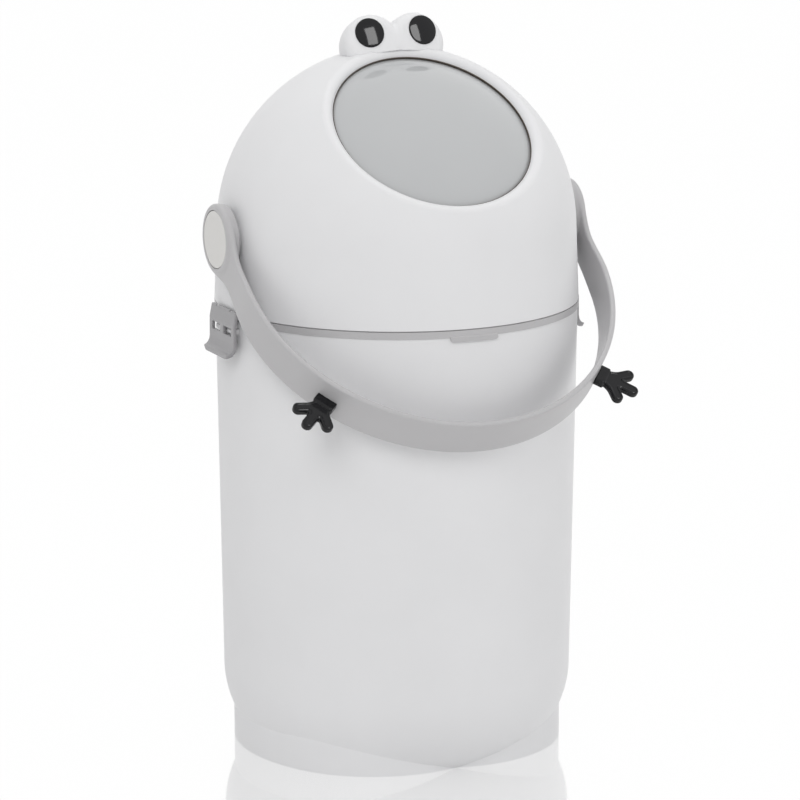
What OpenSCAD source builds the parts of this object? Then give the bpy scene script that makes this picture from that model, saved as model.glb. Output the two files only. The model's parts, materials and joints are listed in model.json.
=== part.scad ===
// Nappy bin. A round bucket carries a lift-off domed head with a round front opening.
// A bail handle turns a ball inside the head. The ball holds a cup with a single mouth.
// Handle forward: the cup empties into the bucket. Handle back: the cup faces the opening.
// Units are millimetres. Z is up, the front is -Y, the handle turns about an axis along X.

/* [Bucket] */
// Height of the rim above the floor
rim_z = 357; // [300:1:420]
// Step of the bucket's rim inside the collar ring
rim_step = 0.7; // [0.5:0.1:2]
// Taper of the wall from the rim down to the bottom fillet
taper = 4.4; // [1:0.1:12]
// Height at which the bottom fillet starts
fillet_z = 62; // [40:1:80]
// Reach of the bottom fillet
fillet_in = 27.9; // [20:0.1:35]
// Wall thickness of the bucket
wall = 2.8; // [2:0.1:4]
// Step of the foot's outline inside the wall at the back and sides
foot_in = 7.9; // [5:0.1:12]
// Difference between the foot's radius and that of its two front lobes
lobe_in = 32; // [20:1:40]
// Angle from the front at which a lobe runs into the foot's circle
lobe_ang = 60; // [45:1:75]
// Height of the foot's upright wall
foot_h = 31; // [20:1:34]

/* [Head] */
// Height of the ball's centre and of the handle's axis above the dome's lower edge
skirt_dz = 57; // [45:0.1:75]
// Wall thickness of the dome
dome_wall = 2.8; // [2:0.1:4]
// Spread of the dome's lower edge and of the collar ring beyond the dome's radius
skirt_out = 2.3; // [1:0.1:6]
// Height of the collar ring
collar_h = 5.5; // [4:0.1:10]
// Height of the shadow groove over the collar ring
groove_h = 0.9; // [0.5:0.1:2]
// Width of the tab at the front of the collar ring
tab_w = 40; // [30:1:60]
// Drop of the tab under the collar ring
tab_h = 3.3; // [3:0.1:8]
// Drop of the collar ring's skirt inside the bucket
skirt_h = 10.5; // [6:0.5:20]
// Room between the bowl and the dome
dome_room = 2.4; // [1.5:0.1:6]
// Wall thickness of the bowl
bowl_wall = 2.5; // [1.5:0.1:3]
// Number of screws that hold the bowl
bowl_screws = 6; // [3:1:8]

/* [Opening] */
// Lean of the opening's axis from upright towards the front
open_tilt = 38.35; // [20:0.05:60]
// Radius at which the lip leaves the dome
lip_r = 90; // [70:0.5:95]
// Radius of the lip's inner edge
rim_open_r = 79.8; // [60:0.1:85]
// Radius of the outlet hole in the bowl
outlet_r = 80; // [60:0.5:85]

/* [Ball] */
// Outside radius of the ball. The dome, the bowl, the collar, the bucket and the handle follow it.
ball_r = 134; // [125:0.1:150]
// Room between the ball and the bowl
ball_room = 2; // [1:0.1:5]
// Wall thickness of the ball
ball_wall = 2.5; // [2:0.1:4]
// Depth of the ball's side flats
flat_cut = 4; // [2:0.5:8]
// Distance from the centre to the joint between the two parts of the ball
split_h = 36; // [34:1:60]
// Radius of the hole for the mouth ring
mouth_r = 76; // [60:0.5:80]
// Inside radius of the cup at its mouth
cup_r = 69.5; // [50:0.5:70]
// Inside radius of the cup at its bottom
cup_end_r = 65.5; // [40:0.5:70]
// Distance from the centre to the cup's bottom
cup_end_h = 60; // [20:1:80]
// Radius of the axle
axle_r = 10; // [7:0.5:12]

/* [Handle] */
// Dip of the handle under the horizontal in front
handle_tilt = 39.4; // [0:0.1:60]
// Step of the band's inner face outside the hub's inner face
band_step = 1.5; // [0:0.1:3]
// Distance from the axis to the arc's centre
arc_c = 64; // [40:0.5:90]
// Width of the band
band_w = 34; // [20:0.5:40]
// Width of the neck beside the hub
neck_w = 30; // [16:0.5:36]
// Thickness of the band
band_t = 4.5; // [3:0.1:8]
// Radius of the hub
hub_r = 27.5; // [20:0.5:32]
// Room between the collar ring and the hub's inner face
hub_gap = 3; // [2:0.1:6]
// Thickness of the hub
hub_t = 7.5; // [5:0.1:10]
// Radius of the hub cap
cap_r = 22.7; // [15:0.1:25]

/* [Hands] */
// Angle of each hand from the front
hand_ang = 48.7; // [20:0.1:70]
// Drop of a hand under the band's middle
hand_drop = 2.5; // [0:0.1:6]
// Thickness of a hand
hand_t = 6.5; // [4:0.1:10]
// Radius of the palm
palm_r = 9; // [6:0.5:14]
// Radius of a finger
finger_r = 4.4; // [3:0.1:7]
// Reach of the middle finger's end circle from the band
finger_reach = 30.5; // [20:0.5:45]
// Distance of an outer finger's end circle from the hand's middle line
finger_spread = 13; // [9:0.1:18]

/* [Face] */
// Radius of an eye lobe
lobe_eye_r = 23.7; // [15:0.1:30]
// Distance of a lobe's centre from the middle
lobe_x = 18.2; // [10:0.1:30]
// Distance of a lobe's centre behind the axis
lobe_y = 13; // [0:0.5:30]
// Depth of a lobe's centre under the dome's top
lobe_drop = 1.3; // [0:0.1:8]
// Distance from the lobe's centre to its flat face
face_d = 16.5; // [10:0.5:20]
// Backward lean of the flat faces
face_tilt = 22; // [0:1:45]
// Outward turn of the flat faces
face_splay = 5; // [0:1:20]
// Radius of a pupil
pupil_r = 11.9; // [6:0.1:16]
// Sideways offset of a pupil on its face
pupil_x = 3.6; // [0:0.1:6]
// Upward offset of a pupil on its face
pupil_up = 7.5; // [0:0.1:12]

/* [Clips] */
// Width of a clip
clip_w = 51; // [30:1:70]
// Distance of a clip's pin outside the collar ring
pin_out = 1.9; // [1.8:0.1:5]
// Height of a clip's pin above the rim
pin_h = 7; // [6:0.1:10]
// Radius of the pin
pin_r = 0.7; // [0.6:0.1:1.5]
// Thickness of a clip's wall
clip_t = 2.7; // [2:0.1:4]
// Distance of a clip's outer face outside its pin
clip_step = 3.7; // [3:0.1:6]
// Drop of the clip's window top under the rim
window_drop = 4.9; // [3:0.1:8]
// Height of a window
window_h = 6.2; // [4:0.1:10]
// Width of a window
window_w = 16; // [8:0.5:20]

/* [Fits] */
// Radial clearance of shafts that turn
run_gap = 0.05; // [0.02:0.01:0.1]
// Gap between the ball and everything round it
ball_gap = 0.3; // [0.2:0.05:0.6]
// Gap between loose fitting parts
loose_gap = 0.4; // [0.2:0.05:0.8]

/* [Hidden] */
$fn = 96;
bowl_in = ball_r + ball_room;
bowl_r = bowl_in + bowl_wall;
dome_r = bowl_r + dome_room + dome_wall;
collar_r = dome_r + skirt_out;
rim_r = collar_r - rim_step;
waist_r = rim_r - taper;
bottom_r = waist_r - fillet_in;
foot_r = waist_r - foot_in;
lobe_r = foot_r - lobe_in;
flat_x = ball_r - flat_cut;
hub_in = collar_r + hub_gap;
arc_r = hub_in + band_step + band_t;
pin_x = collar_r + pin_out;
clip_out = pin_x + clip_step;
lobe_h = dome_r - lobe_drop;
fillet_r = (fillet_z * fillet_z + pow(waist_r - bottom_r, 2)) / (2 * (waist_r - bottom_r));
collar_z = rim_z + collar_h;
dome_z = collar_z + groove_h;
pivot_z = dome_z + skirt_dz;
tan_ang = acos(dome_r / sqrt(collar_r * collar_r + skirt_dz * skirt_dz)) - atan2(skirt_dz, collar_r);
lip_ang = acos(lip_r / dome_r);
bead_r = (lip_r - rim_open_r) / (1 + cos(lip_ang));
bead_x = rim_open_r + bead_r;
bead_h = dome_r * sin(lip_ang) - bead_r * sin(lip_ang);
ledge_z = rim_z + 3;
spigot_r = collar_r - dome_wall;
bush_in = flat_x + 1.5;
bush_flange = 3;
pad_in = bush_in + bush_flange;
pad_out = hub_in - 1.5;
bush_out = hub_in - 0.6;
bush_r = axle_r + 3;
pad_r = bush_r + 6;
socket_x = hub_in + 2.5;
cap_floor = hub_in + 4.5;
hub_out = hub_in + hub_t;
cap_out = hub_out + 0.2;
cup_t = 2.5;
cup_flange_r = mouth_r + 4.5;
flange_h = sqrt(pow(ball_r - ball_wall, 2) - pow(cup_flange_r, 2)) - 1;
skirt_in = rim_r - wall - 2.9;
screw_r = bowl_r - 0.1;
clip_low = rim_z - 30.05;
pin_z = rim_z + pin_h;
clip_in = clip_out - clip_t;
window_z = rim_z - window_drop - window_h;
lug_y = 14;
lug_w = 4;

white = [0.90, 0.90, 0.90];
shade = [0.72, 0.73, 0.76];
grey = [0.66, 0.66, 0.69];
dark = [0.55, 0.55, 0.57];
black = [0.08, 0.08, 0.09];
soft = [0.35, 0.33, 0.31];
steel = [0.70, 0.70, 0.72];

// ---------- placing ----------

// Z becomes the axis of the dome's opening
module opening_frame() {
  translate([0, 0, pivot_z]) rotate([open_tilt, 0, 0]) children();
}

// Z becomes the axis of the ball's mouth, opposite the opening when the handle is forward
module mouth_frame() {
  translate([0, 0, pivot_z]) rotate([open_tilt + 180, 0, 0]) children();
}

// -Y runs along the handle's arms
module handle_frame() {
  translate([0, 0, pivot_z]) rotate([handle_tilt, 0, 0]) children();
}

// Z becomes the handle's axis, pointing to the given side
module side_axis(side) {
  translate([0, 0, pivot_z]) rotate([0, side * 90, 0]) children();
}

// Z leaves the flat face of the eye lobe on the given side
module face_frame(side) {
  translate([side * lobe_x, lobe_y, pivot_z + lobe_h])
    rotate([0, 0, side * face_splay]) rotate([90 - face_tilt, 0, 0]) children();
}

// X leaves the handle's arc at the hand on the given side
module hand_frame(side) {
  handle_frame() translate([0, -arc_c, -hand_drop])
    rotate([0, 0, -90 + side * hand_ang]) children();
}

// ---------- flat sections ----------

// Rounded rectangle about the origin, from squares and circles
module rounded(w, h, r) {
  square([w - 2 * r, h], center = true);
  square([w, h - 2 * r], center = true);
  for (sx = [-1, 1], sy = [-1, 1])
    translate([sx * (w / 2 - r), sy * (h / 2 - r)]) circle(r);
}

// Right half of the bucket's section, drawn in by the given amount
module bucket_half(inset) {
  intersection() {
    translate([waist_r - fillet_r, fillet_z]) circle(fillet_r - inset, $fn = 256);
    translate([waist_r - fillet_r, inset]) square([fillet_r, fillet_z - inset]);
  }
  translate([0, inset]) square([waist_r - fillet_r + 5, fillet_z - inset]);
  polygon([[0, fillet_z - 5], [50, fillet_z - 5], [50, fillet_z], [waist_r - inset, fillet_z],
    [rim_r - inset, rim_z], [0, rim_z]]);
}

// Plan of the foot, drawn in by the given amount
module foot_plan(inset) {
  reach = foot_r * 2;
  for (s = [-1, 1])
    rotate([0, 0, s * lobe_ang]) translate([0, -(foot_r + 0.3 - lobe_r)])
      circle(lobe_r - inset, $fn = 192);
  difference() {
    circle(foot_r - inset, $fn = 256);
    polygon([[0, 0], [-reach * sin(lobe_ang), -reach * cos(lobe_ang)], [0, -reach * 2],
      [reach * sin(lobe_ang), -reach * cos(lobe_ang)]]);
  }
}

// Right half of the dome's section, drawn in by the given amount
module dome_half(inset) {
  r = dome_r - inset;
  top = pivot_z + r * sin(tan_ang);
  intersection() {
    translate([0, pivot_z]) circle(r, $fn = 256);
    translate([0, top]) square([dome_r + 1, dome_r]);
  }
  polygon([[0, dome_z - inset], [collar_r - inset, dome_z - inset], [collar_r - inset, dome_z],
    [r * cos(tan_ang), top], [50, top], [50, top + 5], [0, top + 5]]);
}

// Section of a spherical shell between two radii, for X above 0
module shell_half(r_out, r_in) {
  intersection() {
    difference() {
      circle(r_out, $fn = 256);
      circle(r_in, $fn = 256);
    }
    translate([0, -r_out]) square([r_out, 2 * r_out]);
  }
}

// ---------- bucket ----------

// A nose that a clip's window drops over
module catch_nose(side, dir) {
  y0 = dir > 0 ? 5 : -18;
  z0 = window_z + 1.1;
  tip = clip_in - 0.35;
  mirror([side < 0 ? 1 : 0, 0, 0]) translate([0, y0 + 13, 0]) rotate([90, 0, 0])
    linear_extrude(13) polygon([[rim_r - 6, z0], [tip, z0], [tip, z0 + 2.2],
      [tip - 2, z0 + window_h - 2.2], [rim_r - 6, z0 + window_h - 2.2]]);
}

module bucket() {
  color(white) difference() {
    union() {
      rotate_extrude($fn = 256) bucket_half(0);
      linear_extrude(foot_h) foot_plan(0);
      for (s = [-1, 1], d = [-1, 1]) catch_nose(s, d);
    }
    rotate_extrude($fn = 256) bucket_half(wall);
    translate([0, 0, rim_z - 0.5]) cylinder(r = rim_r - wall, h = 5, $fn = 256);
    translate([0, 0, wall]) linear_extrude(foot_h - 2 * wall) foot_plan(wall);
  }
}

// ---------- head ----------

// The rolled lip, turned about the opening's axis and tangent to the dome where it starts
module lip() {
  half = dome_wall / 2;
  skin = 0.06;
  rotate_extrude($fn = 192) difference() {
    union() {
      translate([bead_x, bead_h]) intersection() {
        difference() {
          circle(bead_r - skin);
          circle(bead_r - dome_wall + skin);
        }
        polygon([[0, 0], [-20, 0], [-20, 20], [0, 20],
          [20 * cos(lip_ang - 8), 20 * sin(lip_ang - 8)]]);
      }
      translate([rim_open_r + half, bead_h]) circle(half - 0.2);
    }
    circle(ball_r + ball_gap + 0.4, $fn = 256);
  }
}

module dome() {
  cone = 160;
  color(white) difference() {
    union() {
      difference() {
        rotate_extrude($fn = 256) difference() {
          dome_half(0);
          dome_half(dome_wall);
        }
        opening_frame() cylinder(r1 = 0, r2 = cone / tan(lip_ang), h = cone, $fn = 192);
      }
      opening_frame() lip();
      for (s = [-1, 1]) side_axis(s)
        translate([0, 0, pad_in]) cylinder(r = pad_r, h = pad_out - pad_in);
    }
    for (s = [-1, 1]) side_axis(s)
      translate([0, 0, pad_in - 1]) cylinder(r = bush_r + run_gap, h = 20);
    for (s = [-1, 1]) translate([s * (lobe_x + 2), lobe_y + 2, pivot_z + dome_r - 12])
      cylinder(r = 1.7, h = 14);
  }
}

module lower_shell() {
  flange_r = spigot_r - 2.15;
  color(shade) difference() {
    translate([0, 0, pivot_z]) rotate_extrude($fn = 256) difference() {
      union() {
        intersection() {
          circle(bowl_r, $fn = 256);
          translate([0, -bowl_r - 1]) square([bowl_r, bowl_r + 1 + ledge_z + 1.2 - pivot_z]);
        }
        translate([0, ledge_z - pivot_z]) square([flange_r, collar_z - ledge_z]);
      }
      circle(bowl_in, $fn = 256);
    }
    intersection() {
      mouth_frame() translate([0, 0, 60]) cylinder(r = outlet_r + 6 + run_gap, h = 120, $fn = 192);
      translate([0, 0, rim_z - 117]) cylinder(r = bowl_in - 0.2, h = 140, $fn = 256);
    }
    bowl_holes();
  }
}

// Ring round the outlet hole, bonded into the bowl. It carries the outlet seal.
module outlet_ring() {
  color(shade) mouth_frame() rotate_extrude($fn = 256) intersection() {
    shell_half(bowl_r, bowl_in);
    translate([outlet_r, 90]) square([6, 40]);
  }
}

module bowl_holes() {
  for (i = [0 : bowl_screws - 1]) rotate([0, 0, 30 + i * 360 / bowl_screws])
    translate([screw_r, 0, rim_z - 1]) cylinder(r = 1.2 + run_gap, h = 12, $fn = 24);
}

// Two ears that hold a clip's pin
module clip_lugs(side) {
  mirror([side < 0 ? 1 : 0, 0, 0]) for (d = [-1, 1])
    translate([0, d * lug_y + lug_w / 2, 0]) rotate([90, 0, 0]) linear_extrude(lug_w)
      difference() {
        union() {
          translate([pin_x, pin_z]) circle(pin_r + 0.6);
          polygon([[collar_r - 3, rim_z + 1.5], [pin_x - 0.6, rim_z + 1.5],
            [pin_x + pin_r + 0.55, pin_z - 0.3], [pin_x - 1.1, pin_z + 0.6],
            [pin_x - 1.4, collar_z], [collar_r - 3, collar_z]]);
        }
        translate([pin_x, pin_z]) circle(pin_r);
      }
}

// Thumb tab under the ring's front, with rounded lower corners
module front_tab() {
  c = 1.6;
  intersection() {
    rotate_extrude($fn = 256) polygon([[rim_r + 0.4, rim_z - tab_h], [collar_r + 1, rim_z - tab_h],
      [collar_r + 1, rim_z + 0.2], [collar_r - 0.3, rim_z + 1.5], [rim_r + 0.4, rim_z + 1.5]]);
    translate([0, -rim_r + 20, rim_z]) rotate([90, 0, 0]) linear_extrude(60) {
      translate([-tab_w / 2, c - tab_h]) square([tab_w, tab_h + 10]);
      translate([c - tab_w / 2, -tab_h]) square([tab_w - 2 * c, 10]);
      for (s = [-1, 1]) translate([s * (tab_w / 2 - c), c - tab_h]) circle(c);
    }
  }
}

module collar_ring() {
  top = collar_z + 6.5;
  color(grey) difference() {
    union() {
      rotate_extrude($fn = 256) polygon([[bowl_in, rim_z], [skirt_in, rim_z], [skirt_in, rim_z - skirt_h],
        [rim_r - wall - 0.2 - loose_gap, rim_z - skirt_h], [rim_r - wall - loose_gap, rim_z],
        [collar_r, rim_z], [collar_r, collar_z], [collar_r - 1.4, collar_z],
        [collar_r - 1.4, dome_z], [spigot_r - 0.05, dome_z],
        [spigot_r - 0.05 - (top - dome_z) * tan(tan_ang) - 0.05, top],
        [spigot_r - 2.1, top], [spigot_r - 2.1, ledge_z], [bowl_in, ledge_z]]);
      for (s = [-1, 1]) clip_lugs(s);
      front_tab();
    }
    translate([0, 0, rim_z - 1]) difference() {
      cylinder(r = rim_r - 0.5, h = 2.6, $fn = 256);
      translate([0, 0, -1]) cylinder(r = rim_r - wall + 0.4, h = 5, $fn = 256);
    }
    bowl_holes();
  }
}

module ring_gasket() {
  color(soft) translate([0, 0, rim_z]) difference() {
    cylinder(r = rim_r - 0.5, h = 1.6, $fn = 256);
    translate([0, 0, -1]) cylinder(r = rim_r - wall + 0.4, h = 5, $fn = 256);
  }
}

module opening_seal() {
  core = bead_r - dome_wall;
  color(soft) opening_frame() rotate_extrude($fn = 192) difference() {
    union() {
      translate([bead_x, bead_h]) circle(core);
      translate([bead_x - core + 0.1, bead_h - 6]) square([2 * core - 0.2, 6]);
    }
    circle(ball_r + ball_gap, $fn = 256);
  }
}

module outlet_seal() {
  color(soft) mouth_frame() rotate_extrude($fn = 192) intersection() {
    shell_half(bowl_in, ball_r + ball_gap);
    translate([outlet_r + 1, 90]) square([4, 40]);
  }
}

// Flanged bush, fitted from inside the dome
module bearing(side) {
  color(shade) side_axis(side) difference() {
    union() {
      translate([0, 0, bush_in]) cylinder(r = bush_r, h = bush_out - bush_in);
      translate([0, 0, bush_in]) cylinder(r = pad_r - 1, h = bush_flange);
    }
    translate([0, 0, bush_in - 1]) cylinder(r = axle_r + run_gap, h = 30);
  }
}

module left_bearing() { bearing(-1); }

module right_bearing() { bearing(1); }

// ---------- face ----------

// One lobe: a ball whose front runs on as a drum to a flat face with a rounded edge
module eye_lobe(side, inset) {
  edge = 4.6;
  r = lobe_eye_r - inset;
  face_frame(side) rotate_extrude($fn = 128) {
    intersection() {
      circle(r);
      translate([0, -r]) square([r, r]);
    }
    translate([0, -5]) square([r - 6, 10]);
    square([r, face_d - edge]);
    square([lobe_eye_r - edge, face_d - inset]);
    translate([lobe_eye_r - edge, face_d - edge]) circle(edge - inset);
  }
}

module pupil_seat(side) {
  face_frame(side) translate([side * pupil_x, pupil_up, 0]) children();
}

module eye_housing() {
  color(white) difference() {
    union() {
      difference() {
        union() {
          eye_lobe(-1, 0);
          eye_lobe(1, 0);
        }
        eye_lobe(-1, 2.4);
        eye_lobe(1, 2.4);
      }
      for (s = [-1, 1]) intersection() {
        eye_lobe(s, 0);
        translate([s * (lobe_x + 2), lobe_y + 2, pivot_z + dome_r - 12]) cylinder(r = 4, h = 60);
      }
    }
    translate([0, 0, pivot_z]) sphere(dome_r, $fn = 256);
    for (s = [-1, 1]) translate([s * (lobe_x + 2), lobe_y + 2, pivot_z + dome_r - 12])
      cylinder(r = 1.5, h = 19);
    for (s = [-1, 1]) pupil_seat(s) translate([0, 0, face_d - 1]) cylinder(r = pupil_r + 0.1, h = 5);
    for (s = [-1, 1]) pupil_seat(s) translate([0, 0, face_d - 5]) cylinder(r = 2.1, h = 6);
  }
}

// Glossy disc with a rounded edge and a stud behind
module pupil(side) {
  color(black) pupil_seat(side) translate([0, 0, face_d - 1]) {
    rotate_extrude() {
      square([pupil_r, 1.2]);
      square([pupil_r - 1, 2.2]);
      translate([pupil_r - 1, 1.2]) circle(1);
    }
    translate([0, 0, -2.5]) cylinder(r = 2.05, h = 3);
  }
}

module left_pupil() { pupil(-1); }

module right_pupil() { pupil(1); }

module eye_screws() {
  color(steel) for (s = [-1, 1]) translate([s * (lobe_x + 2), lobe_y + 2, 0]) {
    top = pivot_z + sqrt(pow(dome_r - dome_wall, 2) - pow(lobe_x + 5.2, 2) - pow(lobe_y + 5.2, 2));
    translate([0, 0, top - 2]) cylinder(r = 3, h = 2, $fn = 32);
    translate([0, 0, top - 1]) cylinder(r = 1.5, h = 10, $fn = 32);
  }
}

module shell_screws() {
  color(steel) for (i = [0 : bowl_screws - 1]) rotate([0, 0, 30 + i * 360 / bowl_screws])
    translate([screw_r, 0, 0]) {
      translate([0, 0, collar_z]) cylinder(r = 2.2, h = 1.6, $fn = 32);
      translate([0, 0, rim_z + 0.4]) cylinder(r = 1.2, h = collar_h, $fn = 32);
    }
}

// ---------- ball ----------

// Outer skin or inner hollow of the ball, flattened at the sides
module ball_body(inset) {
  intersection() {
    translate([0, 0, pivot_z]) sphere(ball_r - inset, $fn = 256);
    translate([-(flat_x - inset), -200, 0]) cube([2 * (flat_x - inset), 400, 800]);
  }
}

// Everything of the ball on the mouth's side of the joint
module mouth_side() {
  mouth_frame() translate([-200, -200, -split_h]) cube([400, 400, 400]);
}

module ball_cover() {
  color(shade) {
    difference() {
      ball_body(0);
      ball_body(ball_wall);
      mouth_side();
    }
    // tongue of the joint between the two parts of the ball
    mouth_frame() rotate_extrude($fn = 256) {
      r = sqrt(pow(ball_r - ball_wall, 2) - split_h * split_h) - 0.3;
      translate([r - 2.2, -split_h - 7]) square([2.2, 12]);
    }
  }
}

module ball_base() {
  color(shade) difference() {
    union() {
      difference() {
        ball_body(0);
        ball_body(ball_wall);
      }
      for (s = [-1, 1]) side_axis(s) translate([0, 0, flat_x - 8]) cylinder(r = axle_r + 5, h = 8);
    }
    mouth_frame() translate([-200, -200, -200]) cube([400, 400, 200 - split_h]);
    mouth_frame() cylinder(r = mouth_r + run_gap, h = 200, $fn = 192);
    for (s = [-1, 1]) side_axis(s) translate([0, 0, 100]) cylinder(r = axle_r, h = 50);
  }
}

module mouth_ring() {
  color(soft) mouth_frame() rotate_extrude($fn = 192) {
    intersection() {
      circle(ball_r - ball_wall - run_gap, $fn = 256);
      translate([cup_r + cup_t, flange_h]) square([cup_flange_r - cup_r - cup_t, 20]);
    }
    intersection() {
      circle(ball_r - 0.1, $fn = 256);
      translate([cup_r + cup_t, flange_h]) square([mouth_r - cup_r - cup_t, 20]);
    }
  }
}

module chamber_cup() {
  t = cup_t;
  round_r = 14;
  color(white) mouth_frame() rotate_extrude($fn = 192) difference() {
    union() {
      polygon([[0, -cup_end_h + round_r], [cup_end_r + t, -cup_end_h + round_r],
        [cup_r + t, flange_h], [0, flange_h]]);
      translate([0, -cup_end_h]) square([cup_end_r + t - round_r, round_r + 1]);
      translate([cup_end_r + t - round_r, -cup_end_h + round_r]) intersection() {
        circle(round_r);
        translate([-1, -round_r]) square([round_r + 1, round_r]);
      }
      translate([0, flange_h - t]) square([cup_flange_r, t]);
    }
    polygon([[-1, -cup_end_h + round_r], [cup_end_r, -cup_end_h + round_r],
      [cup_r, flange_h + 1], [-1, flange_h + 1]]);
    translate([-1, -cup_end_h + t]) square([cup_end_r + t - round_r + 1, round_r]);
    translate([cup_end_r + t - round_r, -cup_end_h + round_r]) intersection() {
      circle(round_r - t);
      translate([-1, -round_r]) square([round_r + 1, round_r]);
    }
    translate([-50, -cup_end_h - 40]) square([50, cup_end_h + flange_h + 80]);
  }
}

// Stub axle: flange on the ball's flat, plain shaft in the bush, two flats in the hub
module axle(side) {
  color(steel) side_axis(side) difference() {
    union() {
      translate([0, 0, flat_x - 7]) cylinder(r = axle_r, h = bush_out - flat_x + 7.2);
      translate([0, 0, flat_x]) cylinder(r = axle_r + 5, h = 1.2);
      intersection() {
        translate([0, 0, bush_out - 1]) cylinder(r = axle_r, h = socket_x - bush_out + 1);
        translate([-20, -7.5, bush_out - 1]) cube([40, 15, socket_x - bush_out + 1]);
      }
    }
    translate([0, 0, socket_x - 16]) cylinder(r = 2, h = 20, $fn = 32);
  }
}

module left_axle() { axle(-1); }

module right_axle() { axle(1); }

// ---------- handle ----------

module band_section(w) {
  rounded(band_t, w, 1.6);
}

// Outline of an arm seen from the side: X is the distance from the axis
module arm_outline() {
  n = neck_w / 2;
  w = band_w / 2;
  a = atan2(n, 35) + acos(hub_r / sqrt(35 * 35 + n * n));
  polygon([[0, -5], [hub_r * cos(a), -hub_r * sin(a)], [35, -n], [50, -n], [arc_c, -w],
    [arc_c, w], [50, n], [35, n], [hub_r * cos(a), hub_r * sin(a)], [0, 5]]);
}

module arm(side) {
  x = side * (arc_r - band_t / 2);
  intersection() {
    union() {
      translate([x, 0, 0]) rotate([90, 0, 0]) linear_extrude(50) band_section(neck_w);
      translate([x, -48, 0]) rotate([90, 0, 0]) linear_extrude(arc_c - 48) band_section(band_w);
      translate([x - band_t / 2, -35, -hub_r]) cube([band_t, 35, 2 * hub_r]);
    }
    translate([x - band_t / 2, 0, 0]) rotate([90, 0, 90]) mirror([1, 0, 0])
      linear_extrude(band_t) arm_outline();
  }
}

module hub(side) {
  handle_side(side) rotate_extrude($fn = 128) {
    translate([0, hub_in]) square([hub_r - 2, hub_t]);
    translate([0, hub_in + 2]) square([hub_r, hub_t - 4]);
    translate([hub_r - 2, hub_in + 2]) circle(2);
    translate([hub_r - 2, hub_out - 2]) circle(2);
  }
}

module handle_side(side) {
  rotate([0, side * 90, 0]) children();
}

module handle() {
  color(grey) handle_frame() difference() {
    union() {
      translate([0, -arc_c, 0]) rotate([0, 0, 180]) rotate_extrude(angle = 180, $fn = 256)
        translate([arc_r - band_t / 2, 0]) band_section(band_w);
      for (s = [-1, 1]) {
        arm(s);
        hub(s);
      }
    }
    for (s = [-1, 1]) handle_side(s) {
      translate([0, 0, cap_floor]) cylinder(r = cap_r + 0.5, h = 10);
      translate([0, 0, hub_in - 1]) cylinder(r = 2.1, h = 10, $fn = 32);
      intersection() {
        translate([0, 0, hub_in - 1]) cylinder(r = axle_r + 0.05, h = socket_x - hub_in + 1);
        rotate([0, 0, -s * handle_tilt])
          translate([-20, -7.55, hub_in - 1]) cube([40, 15.1, socket_x - hub_in + 1]);
      }
    }
    for (s = [-1, 1]) translate([0, -arc_c, -hand_drop]) rotate([0, 0, -90 + s * hand_ang])
      translate([arc_r - 8, 0, 0]) rotate([0, 90, 0]) cylinder(r = 2.5, h = 12, $fn = 32);
  }
}

// Light disc that covers the hub's screw
module hub_cap(side) {
  color(shade) side_axis(side) difference() {
    rotate_extrude($fn = 128) {
      translate([0, cap_floor]) square([cap_r, cap_out - cap_floor - 0.8]);
      translate([0, cap_floor]) square([cap_r - 0.8, cap_out - cap_floor]);
      translate([cap_r - 0.8, cap_out - 0.8]) circle(0.8);
    }
    translate([0, 0, cap_floor - 1]) cylinder(r = 6, h = 3.2);
  }
}

module left_hub_cap() { hub_cap(-1); }

module right_hub_cap() { hub_cap(1); }

module handle_screws() {
  color(steel) for (s = [-1, 1]) side_axis(s) {
    translate([0, 0, cap_floor]) cylinder(r = 4.5, h = 1.9, $fn = 48);
    translate([0, 0, cap_floor - 15]) cylinder(r = 2, h = 15.5, $fn = 32);
  }
}

// ---------- hands ----------

// Flat bar with rounded edges along X
module soft_bar(length, width) {
  rotate([90, 0, 90]) linear_extrude(length) rounded(width, hand_t, 2.2);
}

// Flat disc with rounded edges
module soft_disc(r) {
  rotate_extrude() intersection() {
    rounded(2 * r, hand_t, 2.2);
    translate([0, -hand_t]) square([r, 2 * hand_t]);
  }
}

module finger(length, turn) {
  rotate([0, 0, turn]) {
    soft_bar(length, 2 * finger_r);
    translate([length, 0, 0]) soft_disc(finger_r);
  }
}

module hand(side) {
  palm = 13;
  side_len = sqrt(pow(finger_reach - 8.5 - palm, 2) + finger_spread * finger_spread);
  side_turn = atan2(finger_spread, finger_reach - 8.5 - palm);
  color(black) hand_frame(side) {
    difference() {
      union() {
        translate([arc_r - 2, 0, 0]) soft_bar(5, 17);
        translate([arc_r - 2, 0, 0]) soft_bar(palm + 2, 14.5);
        translate([arc_r + palm, 0, 0]) {
          soft_disc(palm_r);
          finger(finger_reach - palm, 0);
          finger(side_len, side_turn);
          finger(side_len, -side_turn);
        }
      }
      cylinder(r = arc_r, h = 40, center = true, $fn = 256);
      translate([arc_r + palm, 0, hand_t / 2 + 59.4]) sphere(60, $fn = 192);
    }
    translate([arc_r - band_t, 0, 0]) rotate([0, 90, 0]) cylinder(r = 2.5, h = band_t + 2, $fn = 32);
  }
}

module left_hand() { hand(-1); }

module right_hand() { hand(1); }

// ---------- clips ----------

module clip_profile() {
  low = rim_z - 28.7;
  polygon([[pin_x + 1.45, pin_z + 0.6], [clip_out, rim_z - 2], [clip_out + 0.2, rim_z - 15],
    [clip_out + 5.4, low + 2.3], [clip_out + 5.4, low], [clip_out + 2.7, low],
    [clip_out + 2.7, low + 1.8], [clip_in + 0.2, rim_z - 15.6], [clip_in, rim_z - 2],
    [pin_x - 1.1, pin_z - 1.1], [pin_x, pin_z]]);
}

// A bar along Y, as long as the clip is wide
module clip_bar(x, z, r) {
  translate([x, clip_w / 2, z]) rotate([90, 0, 0]) cylinder(r = r, h = clip_w, $fn = 48);
}

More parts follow.
